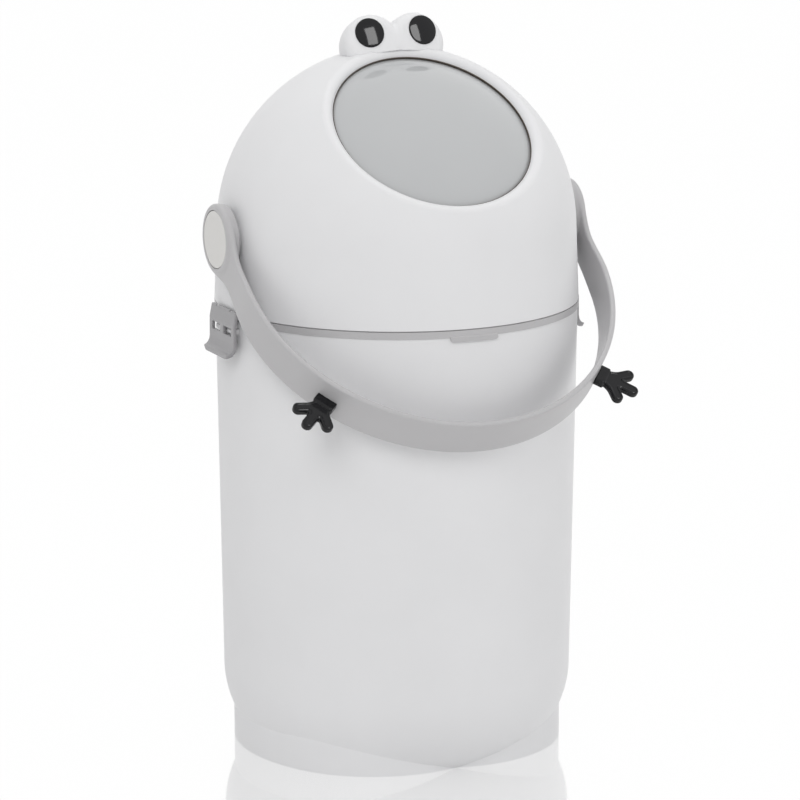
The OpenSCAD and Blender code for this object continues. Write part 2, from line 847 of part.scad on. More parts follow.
// The clip's outline seen from its side, with rounded lower corners
module clip_front() {
  w = clip_w / 2;
  r = 9;
  low = clip_low;
  high = pin_z + 3;
  translate([-w, low + r]) square([clip_w, high - low - r]);
  translate([-w + r, low]) square([clip_w - 2 * r, r + 1]);
  for (s = [-1, 1]) translate([s * (w - r), low + r]) circle(r);
}

module clip(side) {
  color(dark) mirror([side < 0 ? 1 : 0, 0, 0]) difference() {
    intersection() {
      union() {
        translate([0, clip_w / 2, 0]) rotate([90, 0, 0]) linear_extrude(clip_w) clip_profile();
        clip_bar(pin_x, pin_z, pin_r + 0.9);
        clip_bar(clip_out + 4.05, rim_z - 28.7, 1.35);
      }
      translate([130, 0, 0]) rotate([90, 0, 90]) linear_extrude(50) clip_front();
    }
    translate([pin_x, 0, pin_z]) rotate([90, 0, 0])
      cylinder(r = pin_r + run_gap, h = clip_w + 10, center = true, $fn = 32);
    for (d = [-1, 1]) {
      translate([pin_x - 10, d * lug_y - lug_w / 2 - 0.3, rim_z - 0.5])
        cube([10 + pin_r + 0.75, lug_w + 0.6, 20]);
      translate([clip_in - 5, d * 11.5 - window_w / 2, window_z])
        cube([12, window_w, window_h]);
    }
  }
}

module left_clip() { clip(-1); }

module right_clip() { clip(1); }

module clip_pin(side) {
  color(steel) translate([side * pin_x, 0, pin_z]) rotate([90, 0, 0])
    cylinder(r = pin_r, h = clip_w - 2, center = true, $fn = 32);
}

module left_clip_pin() { clip_pin(-1); }

module right_clip_pin() { clip_pin(1); }

bucket();
dome();
lower_shell();
outlet_ring();
collar_ring();
ring_gasket();
opening_seal();
outlet_seal();
left_bearing();
right_bearing();
eye_housing();
left_pupil();
right_pupil();
eye_screws();
shell_screws();
left_clip_pin();
right_clip_pin();
ball_cover();
ball_base();
mouth_ring();
chamber_cup();
left_axle();
right_axle();
handle();
left_hub_cap();
right_hub_cap();
handle_screws();
left_hand();
right_hand();
left_clip();
right_clip();
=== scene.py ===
"""Looks for the nappy bin: finishes for the CAD nodes, finer pieces where the solids are plain,
a white studio, and a camera at the photograph's viewing angle. Lengths are in metres."""

import json
import math

import bpy
import numpy as np
from mathutils import Matrix, Vector

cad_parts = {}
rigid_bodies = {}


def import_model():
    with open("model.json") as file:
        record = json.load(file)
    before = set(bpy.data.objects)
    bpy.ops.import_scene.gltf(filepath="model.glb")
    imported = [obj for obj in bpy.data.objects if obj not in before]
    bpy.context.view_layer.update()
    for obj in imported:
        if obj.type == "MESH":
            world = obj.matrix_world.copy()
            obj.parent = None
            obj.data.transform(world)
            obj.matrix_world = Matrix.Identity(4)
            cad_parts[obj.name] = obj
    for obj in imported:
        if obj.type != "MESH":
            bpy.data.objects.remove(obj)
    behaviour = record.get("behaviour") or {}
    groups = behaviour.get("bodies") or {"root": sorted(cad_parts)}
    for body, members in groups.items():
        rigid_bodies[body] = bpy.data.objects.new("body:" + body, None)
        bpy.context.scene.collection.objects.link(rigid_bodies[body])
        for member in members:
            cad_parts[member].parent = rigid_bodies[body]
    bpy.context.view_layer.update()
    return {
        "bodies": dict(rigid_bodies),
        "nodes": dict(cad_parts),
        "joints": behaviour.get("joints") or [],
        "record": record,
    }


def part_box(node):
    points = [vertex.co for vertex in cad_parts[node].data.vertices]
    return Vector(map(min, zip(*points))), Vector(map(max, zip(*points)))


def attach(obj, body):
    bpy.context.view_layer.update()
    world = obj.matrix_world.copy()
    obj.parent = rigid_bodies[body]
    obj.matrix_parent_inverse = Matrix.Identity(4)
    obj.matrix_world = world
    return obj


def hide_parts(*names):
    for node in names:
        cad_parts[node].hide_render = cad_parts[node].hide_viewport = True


MM = 0.001

# ---------- camera ----------

FRAME_PX = 800
FOCAL_PX = 4000
SENSOR_MM = 36.0
CAMERA_AZIMUTH = -24.45  # degrees from the front, towards the part's left
CAMERA_PITCH = 12.57  # degrees below the horizontal
CAMERA_DISTANCE = 3.1512  # horizontal distance from the part's axis
CAMERA_HEIGHT = 0.9799
CENTRE_SHIFT_PX = 3.46  # the photograph's framing, to the left


def make_camera():
    az, pitch = math.radians(CAMERA_AZIMUTH), math.radians(CAMERA_PITCH)
    data = bpy.data.cameras.new("camera")
    data.sensor_width = SENSOR_MM
    data.lens = SENSOR_MM * FOCAL_PX / FRAME_PX
    data.shift_x = CENTRE_SHIFT_PX / FRAME_PX
    data.clip_end = 50
    camera = bpy.data.objects.new("camera", data)
    bpy.context.scene.collection.objects.link(camera)
    camera.location = (
        math.sin(az) * CAMERA_DISTANCE,
        -math.cos(az) * CAMERA_DISTANCE,
        CAMERA_HEIGHT,
    )
    forward = Vector(
        (-math.sin(az) * math.cos(pitch), math.cos(az) * math.cos(pitch), -math.sin(pitch))
    )
    camera.rotation_euler = forward.to_track_quat("-Z", "Y").to_euler()
    bpy.context.scene.camera = camera
    return camera


# ---------- materials ----------

CLOUD_SCALE = 14
CLOUD_TINT = 0.012
GLOSS_SCALE = 60
GRAIN_SCALE = 900
GRAIN_DEPTH = 0.0004


def new_material(name):
    m = bpy.data.materials.new(name)
    m.use_nodes = True
    nodes = m.node_tree.nodes
    return m, nodes, m.node_tree.links, nodes["Principled BSDF"]


def noise(nodes, links, coords, scale, detail=3.0, rough=0.5):
    n = nodes.new("ShaderNodeTexNoise")
    n.inputs["Scale"].default_value = scale
    n.inputs["Detail"].default_value = detail
    n.inputs["Roughness"].default_value = rough
    links.new(coords.outputs["Object"], n.inputs["Vector"])
    return n.outputs["Fac"]


def ranged(nodes, links, value, low, high, source=(0.3, 0.7)):
    r = nodes.new("ShaderNodeMapRange")
    r.inputs["From Min"].default_value, r.inputs["From Max"].default_value = source
    r.inputs["To Min"].default_value, r.inputs["To Max"].default_value = low, high
    links.new(value, r.inputs["Value"])
    return r.outputs["Result"]


def tinted(nodes, links, value, a, b, source=(0.3, 0.7)):
    ramp = nodes.new("ShaderNodeValToRGB")
    ramp.color_ramp.elements[0].position = source[0]
    ramp.color_ramp.elements[0].color = (*a, 1)
    ramp.color_ramp.elements[1].position = source[1]
    ramp.color_ramp.elements[1].color = (*b, 1)
    links.new(value, ramp.inputs["Fac"])
    return ramp.outputs["Color"]


def moulded(name, colour, rough, spread=0.03, bump=0.02, specular=0.5):
    """Injection-moulded plastic: faint cloudy colour, uneven gloss and a fine spark-eroded grain."""
    m, nodes, links, shader = new_material(name)
    coords = nodes.new("ShaderNodeTexCoord")
    cloud = noise(nodes, links, coords, CLOUD_SCALE, 4)
    darker = tuple(c * (1 - CLOUD_TINT) for c in colour)
    lighter = tuple(min(1, c * (1 + CLOUD_TINT)) for c in colour)
    links.new(tinted(nodes, links, cloud, darker, lighter), shader.inputs["Base Color"])
    gloss = noise(nodes, links, coords, GLOSS_SCALE, 5, 0.6)
    links.new(
        ranged(nodes, links, gloss, rough - spread, rough + spread), shader.inputs["Roughness"]
    )
    fine = noise(nodes, links, coords, GRAIN_SCALE, 2, 0.55)
    relief = nodes.new("ShaderNodeBump")
    relief.inputs["Strength"].default_value = bump
    relief.inputs["Distance"].default_value = GRAIN_DEPTH
    links.new(fine, relief.inputs["Height"])
    links.new(relief.outputs["Normal"], shader.inputs["Normal"])
    shader.inputs["Specular IOR Level"].default_value = specular
    return m


def brushed(name, colour):
    """Plain steel with fine turning marks."""
    m, nodes, links, shader = new_material(name)
    coords = nodes.new("ShaderNodeTexCoord")
    cloud = noise(nodes, links, coords, 400, 4)
    links.new(
        tinted(nodes, links, cloud, tuple(c * 0.9 for c in colour), colour),
        shader.inputs["Base Color"],
    )
    links.new(ranged(nodes, links, cloud, 0.25, 0.42), shader.inputs["Roughness"])
    shader.inputs["Metallic"].default_value = 1.0
    return m


def dress(frame, finishes):
    """Gives each CAD node the finish of its material slot."""
    slots = {s["node"]: s["material_slot"] for s in frame["record"]["subparts"]}
    for name, node in frame["nodes"].items():
        node.data.materials.clear()
        node.data.materials.append(finishes[slots[name]])


# ---------- studio ----------

FLOOR_SIZE = 14
FLOOR_GLOW = 0.96  # share of the floor's look that is its own white
MIRROR_ROUGHNESS = 0.07
MIRROR_SHARE = (0.05, 0.78)  # from looking down to looking along the floor
MIRROR_FACING = (0.35, 0.8)
AMBIENT = 0.49


def seen_directly(nodes, links):
    """1 for rays that show the studio itself: from the camera, a gloss or a transmission."""
    path = nodes.new("ShaderNodeLightPath")
    value = path.outputs["Is Camera Ray"]
    for name in ("Is Glossy Ray", "Is Transmission Ray"):
        either = nodes.new("ShaderNodeMath")
        either.operation = "MAXIMUM"
        links.new(value, either.inputs[0])
        links.new(path.outputs[name], either.inputs[1])
        value = either.outputs[0]
    return value


def make_floor():
    """White polished floor: it glows white where it is seen and mirrors the part at low angles."""
    mesh = bpy.data.meshes.new("floor")
    h = FLOOR_SIZE / 2
    mesh.from_pydata([(-h, -h, 0), (h, -h, 0), (h, h, 0), (-h, h, 0)], [], [(0, 1, 2, 3)])
    floor = bpy.data.objects.new("floor", mesh)
    bpy.context.scene.collection.objects.link(floor)
    m, nodes, links, shader = new_material("floor_white")
    shader.inputs["Base Color"].default_value = (0.93, 0.93, 0.93, 1)
    coords = nodes.new("ShaderNodeTexCoord")
    links.new(
        ranged(nodes, links, noise(nodes, links, coords, 30), 0.55, 0.65),
        shader.inputs["Roughness"],
    )
    shader.inputs["Specular IOR Level"].default_value = 0.0
    glow = nodes.new("ShaderNodeEmission")
    glow.inputs["Color"].default_value = (1, 1, 1, 1)
    glow.inputs["Strength"].default_value = 1.0
    share = nodes.new("ShaderNodeMath")
    share.operation = "MULTIPLY"
    share.inputs[1].default_value = FLOOR_GLOW
    links.new(seen_directly(nodes, links), share.inputs[0])
    lit = nodes.new("ShaderNodeMixShader")
    links.new(share.outputs[0], lit.inputs[0])
    links.new(shader.outputs[0], lit.inputs[1])
    links.new(glow.outputs[0], lit.inputs[2])
    mirror = nodes.new("ShaderNodeBsdfGlossy")
    mirror.inputs["Roughness"].default_value = MIRROR_ROUGHNESS
    mirror.inputs["Color"].default_value = (1, 1, 1, 1)
    grazing = nodes.new("ShaderNodeLayerWeight")
    grazing.inputs["Blend"].default_value = 0.5
    polish = nodes.new("ShaderNodeMixShader")
    links.new(
        ranged(nodes, links, grazing.outputs["Facing"], *MIRROR_SHARE, MIRROR_FACING),
        polish.inputs[0],
    )
    links.new(lit.outputs[0], polish.inputs[1])
    links.new(mirror.outputs[0], polish.inputs[2])
    links.new(polish.outputs[0], nodes["Material Output"].inputs["Surface"])
    mesh.materials.append(m)


def make_world():
    world = bpy.data.worlds.new("studio")
    bpy.context.scene.world = world
    world.use_nodes = True
    nodes, links = world.node_tree.nodes, world.node_tree.links
    ambient = nodes["Background"]
    ambient.inputs["Color"].default_value = (1, 1, 1, 1)
    ambient.inputs["Strength"].default_value = AMBIENT
    white = nodes.new("ShaderNodeBackground")
    white.inputs["Color"].default_value = (1, 1, 1, 1)
    white.inputs["Strength"].default_value = 1.0
    mix = nodes.new("ShaderNodeMixShader")
    links.new(seen_directly(nodes, links), mix.inputs[0])
    links.new(ambient.outputs[0], mix.inputs[1])
    links.new(white.outputs[0], mix.inputs[2])
    links.new(mix.outputs[0], nodes["World Output"].inputs["Surface"])


def softbox(name, place, aim, size, power, only=()):
    """Area lamp that gloss doesn't show, or one that lights and shows in the named pieces only."""
    data = bpy.data.lights.new(name, "AREA")
    data.shape = "RECTANGLE"
    data.size, data.size_y = size
    data.energy = power
    light = bpy.data.objects.new(name, data)
    bpy.context.scene.collection.objects.link(light)
    light.location = place
    light.visible_glossy = bool(only)
    if only:
        lit = bpy.data.collections.new(name + "_lights")
        for piece in only:
            lit.objects.link(bpy.data.objects[piece])
        light.light_linking.receiver_collection = lit
    light.rotation_euler = (Vector(aim) - Vector(place)).to_track_quat("-Z", "Y").to_euler()


# ---------- smooth solids from distance fields ----------
# Every field takes points in millimetres, in the part's frame or in a local one.


def smooth_min(a, b, k):
    h = np.clip(0.5 + 0.5 * (b - a) / k, 0, 1)
    return b + (a - b) * h - k * h * (1 - h)


def smooth_max(a, b, k):
    return -smooth_min(-a, -b, k)


def box_2d(u, v, half_u, half_v, r):
    """Rounded rectangle about the origin."""
    du, dv = np.abs(u) - half_u + r, np.abs(v) - half_v + r
    return np.minimum(np.maximum(du, dv), 0) + np.hypot(np.maximum(du, 0), np.maximum(dv, 0)) - r


def capsule_2d(u, v, a, b, r):
    pu, pv, bu, bv = u - a[0], v - a[1], b[0] - a[0], b[1] - a[1]
    t = np.clip((pu * bu + pv * bv) / (bu * bu + bv * bv), 0, 1)
    return np.hypot(pu - bu * t, pv - bv * t) - r


def polygon_2d(u, v, points):
    best = np.full(u.shape, 1e9)
    sign = np.ones(u.shape)
    for (ax, ay), (bx, by) in zip(points, points[1:] + points[:1]):
        ex, ey, wx, wy = bx - ax, by - ay, u - ax, v - ay
        t = np.clip((wx * ex + wy * ey) / (ex * ex + ey * ey), 0, 1)
        best = np.minimum(best, (wx - ex * t) ** 2 + (wy - ey * t) ** 2)
        above, below, left = v >= ay, v < by, ex * wy > ey * wx
        flip = (above & below & left) | (~above & ~below & ~left)
        sign = np.where(flip, -sign, sign)
    return sign * np.sqrt(best)


def extruded(flat, along, half, r):
    """A flat shape's field pulled to a thickness, with edges rounded by r."""
    a, b = flat + r, np.abs(along) - half + r
    return np.minimum(np.maximum(a, b), 0) + np.hypot(np.maximum(a, 0), np.maximum(b, 0)) - r


def surface(field, low, high, step, passes=3):
    """Mesh of the field's zero surface: one point in each crossed cell, moved onto the surface."""
    axes = [np.arange(low[i], high[i] + step, step) for i in range(3)]
    grid = np.stack(np.meshgrid(*axes, indexing="ij"), -1)
    value = field(grid)
    inside = value < 0
    shape = tuple(n - 1 for n in value.shape)
    corner = [(i, j, k) for i in (0, 1) for j in (0, 1) for k in (0, 1)]

    def cells(array, c):
        return array[c[0] : c[0] + shape[0], c[1] : c[1] + shape[1], c[2] : c[2] + shape[2]]

    count = sum(cells(inside, c).astype(int) for c in corner)
    crossed = (count > 0) & (count < 8)
    total, edges = np.zeros((*shape, 3)), np.zeros(shape)
    for c in corner:
        for axis in range(3):
            if c[axis]:
                continue
            d = tuple(1 if n == axis else c[n] for n in range(3))
            va, vb = cells(value, c), cells(value, d)
            hit = (va < 0) != (vb < 0)
            t = np.where(hit, va / np.where(hit, va - vb, 1), 0)
            point = cells(grid, c) + t[..., None] * (cells(grid, d) - cells(grid, c))
            total += np.where(hit[..., None], point, 0)
            edges += hit
    number = np.full(shape, -1)
    number[crossed] = np.arange(crossed.sum())
    points = total[crossed] / edges[crossed][:, None]
    e = step * 0.05
    for _ in range(passes):
        f = field(points)
        slope = np.stack(
            [(field(points + d) - field(points - d)) / (2 * e) for d in np.eye(3) * e], -1
        )
        move = f[:, None] * slope / np.maximum((slope**2).sum(-1), 0.2)[:, None]
        points = points - np.clip(move, -step / 2, step / 2)
    faces = []
    for axis in range(3):
        u, v = (axis + 1) % 3, (axis + 2) % 3
        index = [slice(1, -1)] * 3
        index[axis] = slice(0, -1)
        nxt = list(index)
        nxt[axis] = slice(1, None)
        a, b = inside[tuple(index)], inside[tuple(nxt)]
        at = np.argwhere(a != b)
        start = at + np.array([0 if n == axis else 1 for n in range(3)])
        out = a[tuple(at.T)]
        quad = []
        for du, dv in ((0, 0), (1, 0), (1, 1), (0, 1)):
            cell = start.copy()
            cell[:, u] -= du
            cell[:, v] -= dv
            quad.append(number[tuple(cell.T)])
        quad = np.stack(quad, -1)
        quad[~out] = quad[~out][:, ::-1]
        faces.append(quad)
    return points, np.concatenate(faces)


def placed(points, frame):
    """Points of a local frame in the part's frame."""
    m = np.array(frame)
    return np.array(points) @ m[:3, :3].T + m[:3, 3]


def local(points, frame):
    """Points of the part's frame in a local frame given by its matrix."""
    return placed(points, frame.inverted())


def room(name, margin=2):
    """Corners of a node's box in millimetres, with a margin for the grid."""
    low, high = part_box(name)
    return np.array(low) * 1000 - margin, np.array(high) * 1000 + margin


def make_piece(name, points, faces, body, slot, angle=None):
    """A smooth mesh in place, riding on its body and finished as its material slot says."""
    mesh = bpy.data.meshes.new(name)
    faces = [tuple(int(i) for i in f) for f in faces]
    mesh.from_pydata((np.asarray(points) * MM).tolist(), [], faces)
    mesh.update()
    piece = bpy.data.objects.new(name, mesh)
    bpy.context.scene.collection.objects.link(piece)
    mesh.polygons.foreach_set("use_smooth", [True] * len(mesh.polygons))
    if angle is not None:
        mesh.set_sharp_from_angle(angle=math.radians(angle))
    mesh.materials.append(FINISHES[slot])
    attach(piece, body)
    return piece


def carve(piece, cutters, angle=30):
    """Cuts closed meshes out of a piece and applies the result."""
    for cutter in cutters:
        modifier = piece.modifiers.new("cut", "BOOLEAN")
        modifier.object, modifier.operation, modifier.solver = cutter, "DIFFERENCE", "EXACT"
    graph = bpy.context.evaluated_depsgraph_get()
    result = bpy.data.meshes.new_from_object(piece.evaluated_get(graph))
    piece.modifiers.clear()
    old = piece.data
    piece.data = result
    result.name = old.name
    for cutter in cutters:
        bpy.data.objects.remove(cutter)
    result.polygons.foreach_set("use_smooth", [True] * len(result.polygons))
    result.set_sharp_from_angle(angle=math.radians(angle))


def lathe(profile, frame, turns=96):
    """Points and faces of a profile of (radius, height) turned about the frame's Z, with flat ends."""
    points, faces, n = [], [], len(profile)
    for i in range(turns):
        a = 2 * math.pi * i / turns
        points += [(r * math.cos(a), r * math.sin(a), z) for r, z in profile]
    for i in range(turns):
        j = (i + 1) % turns
        for k in range(n - 1):
            faces.append((i * n + k, j * n + k, j * n + k + 1, i * n + k + 1))
    first, last = [i * n for i in range(turns)], [i * n + n - 1 for i in range(turns)]
    return placed(points, frame), faces + [tuple(reversed(first)), tuple(last)]


def closed_ring(profile, frame, turns=256):
    """Points and faces of a loop of (radius, height) turned about the frame's Z."""
    points, faces, n = [], [], len(profile)
    for i in range(turns):
        a = 2 * math.pi * i / turns
        points += [(r * math.cos(a), r * math.sin(a), z) for r, z in profile]
    for i in range(turns):
        j = (i + 1) % turns
        for k in range(n):
            q = (k + 1) % n
            faces.append((i * n + k, i * n + q, j * n + q, j * n + k))
    return placed(points, frame), faces


# ---------- sizes from the source, in millimetres ----------

RIM_Z = 357.0
PIVOT_Z = 420.4
DOME_R = 143.7
OPEN_TILT = 38.35
LIP_R = 90.0
OPEN_R = 79.8
BALL_R = 134.0
LOBE_R = 23.7
LOBE_X = 18.2
LOBE_Y = 13.0
LOBE_H = 142.4
FACE_D = 16.5
FACE_TILT = 22
FACE_SPLAY = 5
PUPIL_R = 11.9
PUPIL_X = 3.6
PUPIL_UP = 7.5
HANDLE_TILT = 39.4
ARC_R = 155.0
ARC_C = 64.0
BAND_T = 4.5
HAND_ANG = 48.7
HAND_DROP = 2.5
HAND_T = 6.5
CLIP_W = 51.0
PIN_X = 147.9
PIN_UP = 7.0  # above the rim
CLIP_OUT = 151.6
CLIP_T = 2.7


def turn(axis, degrees):
    return Matrix.Rotation(math.radians(degrees), 4, axis)


def opening_frame():
    return Matrix.Translation((0, 0, PIVOT_Z)) @ turn("X", OPEN_TILT)


def face_frame(side):
    return (
        Matrix.Translation((side * LOBE_X, LOBE_Y, PIVOT_Z + LOBE_H))
        @ turn("Z", side * FACE_SPLAY)
        @ turn("X", 90 - FACE_TILT)
    )


def hand_frame(side):
    return (
        Matrix.Translation((0, 0, PIVOT_Z))
        @ turn("X", HANDLE_TILT)
        @ Matrix.Translation((0, -ARC_C, -HAND_DROP))
        @ turn("Z", -90 + side * HAND_ANG)
    )


# ---------- face ----------

EYE_EDGE = 7.5
EYE_WALL = 2.4
LOBE_BLEND = 3.0
SEAT_IN = 0.3  # how far the housing reaches into the dome
SEAT_DEPTH = 2.4  # how far it follows the rolled lip below the dome's ball
SEAT_EDGE = 0.6
HOLLOW_DEPTH = 2
SCREW_R = 2.1
PUPIL_RISE = 2.3
PUPIL_EDGE = 0.9
PUPIL_RIM = 0.2


def eye_lobe(points, side):
    q = local(points, face_frame(side))
    rho, z = np.hypot(q[..., 0], q[..., 1]), q[..., 2]
    ball = np.sqrt(rho**2 + z**2) - LOBE_R
    a, b = rho - LOBE_R + EYE_EDGE, z - FACE_D + EYE_EDGE
    drum = np.minimum(np.maximum(a, b), 0)
    drum = drum + np.hypot(np.maximum(a, 0), np.maximum(b, 0)) - EYE_EDGE
    return np.where(z < 0, ball, drum)


def dome_field(points):
    """The dome's ball and, inside the lip's radius, the lip's rolled edge."""
    q = local(points, opening_frame())
    rho, h = np.hypot(q[..., 0], q[..., 1]), q[..., 2]
    ball = np.sqrt(rho**2 + h**2) - DOME_R
    bead_r = (LIP_R - OPEN_R) / (1 + LIP_R / DOME_R)
    bead_h = math.sqrt(DOME_R**2 - LIP_R**2) * (1 - bead_r / DOME_R)
    bead = np.hypot(rho - OPEN_R - bead_r, h - bead_h) - bead_r
    return np.where((rho < h * LIP_R / math.sqrt(DOME_R**2 - LIP_R**2)) & (h > 0), bead, ball)


def eye_field(points):
    lobes = smooth_min(eye_lobe(points, -1), eye_lobe(points, 1), LOBE_BLEND)
    dome = dome_field(points)
    q = local(points, opening_frame())
    seat = np.minimum(dome + SEAT_IN, np.sqrt((q**2).sum(axis=-1)) - DOME_R + SEAT_DEPTH)
    outer = smooth_max(lobes, -seat, SEAT_EDGE)
    return np.maximum(outer, -np.maximum(lobes + EYE_WALL, -dome - HOLLOW_DEPTH))


def disc_cutter(frame, radius, low, high):
    points, faces = lathe([(radius, low), (radius, high)], frame, 128)
    mesh = bpy.data.meshes.new("cutter")
    mesh.from_pydata((points * MM).tolist(), [], faces)
    cutter = bpy.data.objects.new("cutter", mesh)
    bpy.context.scene.collection.objects.link(cutter)
    return cutter


def pupil_profile():
    """Radius and height of a pupil: base, rounded edge and domed front."""
    profile = [(PUPIL_R - 0.4, FACE_D - 0.98), (PUPIL_R, FACE_D - 0.6), (PUPIL_R, FACE_D + PUPIL_RIM)]
    for i in range(1, 7):
        a = math.radians(i * 13)
        r = PUPIL_R - PUPIL_EDGE + PUPIL_EDGE * math.cos(a)
        profile.append((r, FACE_D + PUPIL_RIM + PUPIL_EDGE * math.sin(a)))
    start_r, start_z = profile[-1]
    rise = FACE_D + PUPIL_RISE - start_z
    for i in range(1, 13):
        t = i / 12
        profile.append((start_r * (1 - t) + 0.001, start_z + rise * (1 - (1 - t) ** 2)))
    return profile


def make_eyes():
    step = 0.8
    low, high = (-46, -13, PIVOT_Z + 125), (46, 41, PIVOT_Z + 170)
    points, faces = surface(eye_field, low, high, step)
    housing = make_piece("eye_housing_skin", points, faces, "head", "white_shell")
    seats = [face_frame(s) @ Matrix.Translation((s * PUPIL_X, PUPIL_UP, 0)) for s in (-1, 1)]
    cutters = [disc_cutter(f, PUPIL_R + 0.15, FACE_D - 1, FACE_D + 6) for f in seats]
    cutters += [disc_cutter(f, SCREW_R, FACE_D - 6, FACE_D) for f in seats]
    carve(housing, cutters)
    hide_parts("eye_housing")
    for side, seat in zip((-1, 1), seats):
        name = "left_pupil" if side < 0 else "right_pupil"
        points, faces = lathe(pupil_profile(), seat, 96)
        pupil = make_piece(name + "_lens", points, faces, "head", "black_gloss", angle=40)
        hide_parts(name)


# ---------- hands ----------

FINGER_R = 4.5
FINGER_EDGE = 2.1
CUFF_OUT = 0.35


def hand_field(points, side):
    q = local(points, hand_frame(side))
    u, v, w = q[..., 0] - ARC_R, q[..., 1], q[..., 2]
    flat = capsule_2d(u, v, (12, 0), (30.5, 0), FINGER_R)
    for s in (-1, 1):
        flat = smooth_min(flat, capsule_2d(u, v, (12.5, s * 3), (22, s * 13.2), FINGER_R), 1.6)
    flat = smooth_min(flat, np.hypot(u - 13, v) - 8.6, 2.5)
    flat = smooth_min(flat, box_2d(u - 8, v, 5, 7.3, 1.0), 1.5)
    half = HAND_T / 2
    palm = extruded(flat, w, half, FINGER_EDGE)
    dish = np.maximum(np.maximum(flat + FINGER_EDGE, half - 0.9 - np.abs(w)), 8.5 - u)
    palm = smooth_max(palm, -dish, 0.9)
    cuff = extruded(box_2d(u - 3.4, v, 4.4, 8.6, 1.2), w, half + CUFF_OUT, 1.0)
    whole = smooth_min(palm, cuff, 0.8)
    band = np.hypot(q[..., 0], q[..., 1]) - ARC_R
    return smooth_max(whole, -band + 0.05, 0.1)


def make_hands():
    step = 0.5
    for side, name in ((-1, "left_hand"), (1, "right_hand")):
        points, faces = surface(lambda p: hand_field(p, side), *room(name), step)
        hand = make_piece(name + "_skin", points, faces, "rotor", "black_gloss")
        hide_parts(name)


# ---------- opening's seal and painted gap shade ---


def make_seal_and_gap_shade():
    """Soft dark rubber lip between the dome's rolled rim and the ball; its dark colour is partly the
    seal's own and partly painted shade of the gap there, and it shows as a thin dark line.

    Each point of its section is a radius and a clearance from the ball."""
    section = (
        (OPEN_R + 0.05, 0.32),
        (OPEN_R + 3, 0.32),
        (OPEN_R + 3, 1.3),
        (OPEN_R + 0.5, 1.75),
        (OPEN_R + 0.1, 1.7),
        (OPEN_R, 1.4),
    )
    profile = [(r, math.sqrt((BALL_R + gap) ** 2 - r * r)) for r, gap in section]
    points, faces = closed_ring(profile, opening_frame())
    # dark lip: its colour is partly the rubber's own and partly painted shade of the gap between rim
    # and ball
    make_piece("opening_seal_lip", points, faces, "head", "seal_rubber", angle=35)


# ---------- handle ----------

HUB_IN = 149.0
HUB_T = 7.5
HUB_R = 27.5
CAP_R = 22.7
BAND_W = 34.0
NECK_W = 30.0
BAND_EDGE = 1.6
NECK_START = 42
NECK_LENGTH = 34
NECK_BLEND = 20
HUB_EDGE = 2.6
HUB_RING = 3.4  # how far the hub's inner ring reaches past its plate
WELL_R = 20.2
SCREW_WELL_R = 10.1


def handle_field(q):
    x, y, z = q[..., 0], -q[..., 1], q[..., 2]
    mid = ARC_R - BAND_T / 2
    bend = np.hypot(x, y - ARC_C) - mid
    side = np.abs(x) - mid
    offset = np.where(y > ARC_C, bend, side)
    t = np.clip((y - NECK_START) / NECK_LENGTH, 0, 1)
    half = NECK_W / 2 + (BAND_W - NECK_W) / 2 * t * t * (3 - 2 * t)
    strip = np.maximum(np.abs(z) - half, -y)
    disc = np.hypot(y, z) - HUB_R
    blend = smooth_min(strip, disc, NECK_BLEND)
    outline = np.where(y > ARC_C, np.abs(z) - half, np.maximum(blend, disc - 90))
    outline = np.where(y < 0, disc, outline)
    band = extruded(outline, offset, BAND_T / 2, BAND_EDGE)
    outer, inner = HUB_IN + HUB_T, HUB_IN - HUB_RING
    centre = (outer + inner) / 2
    hub = extruded(disc, np.abs(x) - centre, (outer - inner) / 2, HUB_EDGE)
    well = np.maximum(np.hypot(y, z) - WELL_R, np.abs(x) - HUB_IN)
    hub = smooth_max(hub, -well, 0.6)
    return smooth_min(band, hub, 2.4)


def make_handle():
    step = 1.15
    low, high = (-160, -ARC_C - ARC_R - 4, -31), (160, 31, 31)
    points, faces = surface(handle_field, low, high, step)
    points = placed(points, Matrix.Translation((0, 0, PIVOT_Z)) @ turn("X", HANDLE_TILT))
    handle = make_piece("handle_skin", points, faces, "rotor", "grey_band")
    cutters = []
    for side in (-1, 1):
        axis = Matrix.Translation((0, 0, PIVOT_Z)) @ turn("Y", side * 90)
        cutters.append(disc_cutter(axis, CAP_R + 0.5, HUB_IN + 4.5, HUB_IN + 12))
        cutters.append(disc_cutter(axis, SCREW_WELL_R, HUB_IN - 2, HUB_IN + 2.5))
    carve(handle, cutters, 38)
    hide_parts("handle")


# ---------- clips ----------

FLARE = 5.4  # how far the lip stands out
WINDOW_Y = 11.5
WINDOW_W, WINDOW_H = 16.0, 6.2
LUG_Y = 14
LUG_SLOT_W = 4.6
PIN_HOLE_R = 0.8


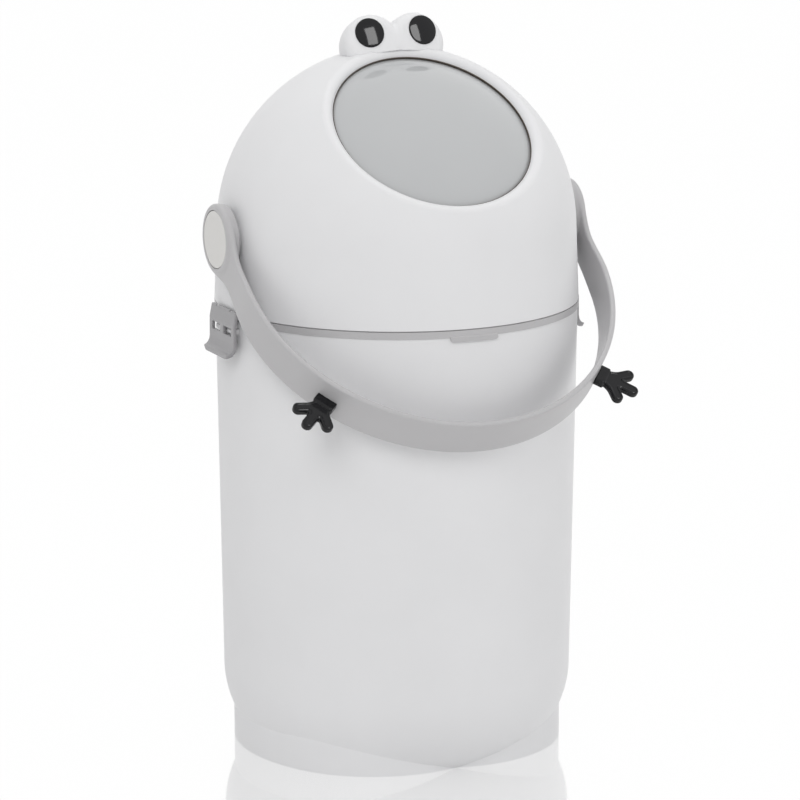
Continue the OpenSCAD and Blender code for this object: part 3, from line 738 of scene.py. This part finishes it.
def clip_field(points, side):
    x, y, z = points[..., 0] * side, points[..., 1], points[..., 2] - RIM_Z
    inner = CLIP_OUT - CLIP_T
    profile = [
        (CLIP_OUT + 0.1, -17.5),
        (CLIP_OUT + 0.6, -20.4),
        (CLIP_OUT + 1.7, -22.5),
        (CLIP_OUT + 3.3, -23.9),
        (CLIP_OUT + FLARE, -24.8),
        (CLIP_OUT + FLARE, -28.6),
        (CLIP_OUT + 2.6, -28.2),
        (CLIP_OUT + 0.2, -26.6),
        (CLIP_OUT - 1.6, -23.6),
        (inner + 0.1, -19.5),
        (inner, -15.6),
        (inner, -2),
        (PIN_X - 1.1, 5.9),
        (PIN_X - 0.9, 8.4),
        (PIN_X + 1.2, 8.5),
        (PIN_X + 1.85, 7.4),
        (CLIP_OUT, -2),
    ]
    flat = polygon_2d(x, z, profile)
    front = box_2d(y, z + 9.5, CLIP_W / 2, 20.4, 9.0)
    top = box_2d(y, z - 1, CLIP_W / 2, 20, 0.6)
    front = np.where(z < -9, front, top)
    body = smooth_max(flat, front, 1.1)
    for s in (-1, 1):
        window = box_2d(y - s * WINDOW_Y, z + 8.0, WINDOW_W / 2, WINDOW_H / 2, 0.7)
        hole = np.maximum(window, np.abs(x - CLIP_OUT) - 6)
        body = smooth_max(body, -hole, 0.5)
        slot = box_2d(y - s * LUG_Y, z - 9.5, LUG_SLOT_W / 2, 10, 0.2)
        body = np.maximum(body, -np.maximum(slot, x - PIN_X - 1.35))
    pin_x, pin_z = x - PIN_X, z - PIN_UP
    rho, up = np.hypot(pin_x, pin_z), np.degrees(np.arctan2(pin_z, pin_x))
    cap = np.maximum(np.abs(rho - 1.64) - 0.24, np.maximum(np.abs(up - 35) - 85, 0) * 0.03)
    body = np.minimum(body, np.maximum(cap, np.abs(y) - CLIP_W / 2 + 1))
    return np.maximum(body, -(rho - PIN_HOLE_R))


def make_clips():
    step = 0.45
    for side, name in ((-1, "left_clip"), (1, "right_clip")):
        points, faces = surface(lambda p: clip_field(p, side), *room(name), step)
        clip = make_piece(name + "_skin", points, faces, name, "clip_grey", angle=50)
        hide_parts(name)


# ---------- build ----------

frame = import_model()
make_camera()

FINISHES = {
    "white_shell": moulded("white_plastic", (0.80, 0.80, 0.81), 0.42, bump=0.03),
    "ball_shell": moulded("ball_plastic", (0.512, 0.521, 0.528), 0.06, 0.015, bump=0.002),
    "grey_band": moulded("grey_plastic", (0.50, 0.494, 0.502), 0.36, bump=0.04, specular=0.6),
    "clip_grey": moulded("clip_plastic", (0.295, 0.29, 0.30), 0.22, bump=0.04, specular=0.8),
    "cap_grey": moulded("cap_plastic", (0.76, 0.75, 0.73), 0.5, bump=0.05),
    "black_gloss": moulded(
        "black_plastic", (0.006, 0.006, 0.007), 0.07, 0.03, bump=0.01, specular=0.26
    ),
    # dark brown rubber: partly the seal's own colour, partly painted shade of the gap under the
    # opening's lip
    "seal_rubber": moulded("seal_rubber", (0.10, 0.08, 0.065), 0.6, bump=0.08),
    "screw_steel": brushed("screw_steel", (0.6, 0.6, 0.62)),
}
dress(frame, FINISHES)

make_eyes()
make_seal_and_gap_shade()
make_handle()
make_hands()
make_clips()

make_floor()
make_world()
softbox("key", (-1.6, -2.0, 2.2), (0, 0, 0.35), (1.6, 1.6), 29.4)
softbox("fill", (2.2, -1.4, 1.2), (0, 0, 0.35), (1.4, 2.0), 12)
softbox("top", (0.2, 0.4, 2.6), (0, 0, 0.4), (1.8, 1.8), 14.4)
GLOSSY_BLACK = ("left_pupil_lens", "right_pupil_lens", "left_hand_skin", "right_hand_skin")
softbox("window", (0.56, -1.81, 1.56), (0, 0, 0.56), (0.7, 1.1), 24, only=GLOSSY_BLACK)

bpy.context.scene.view_settings.view_transform = "Standard"
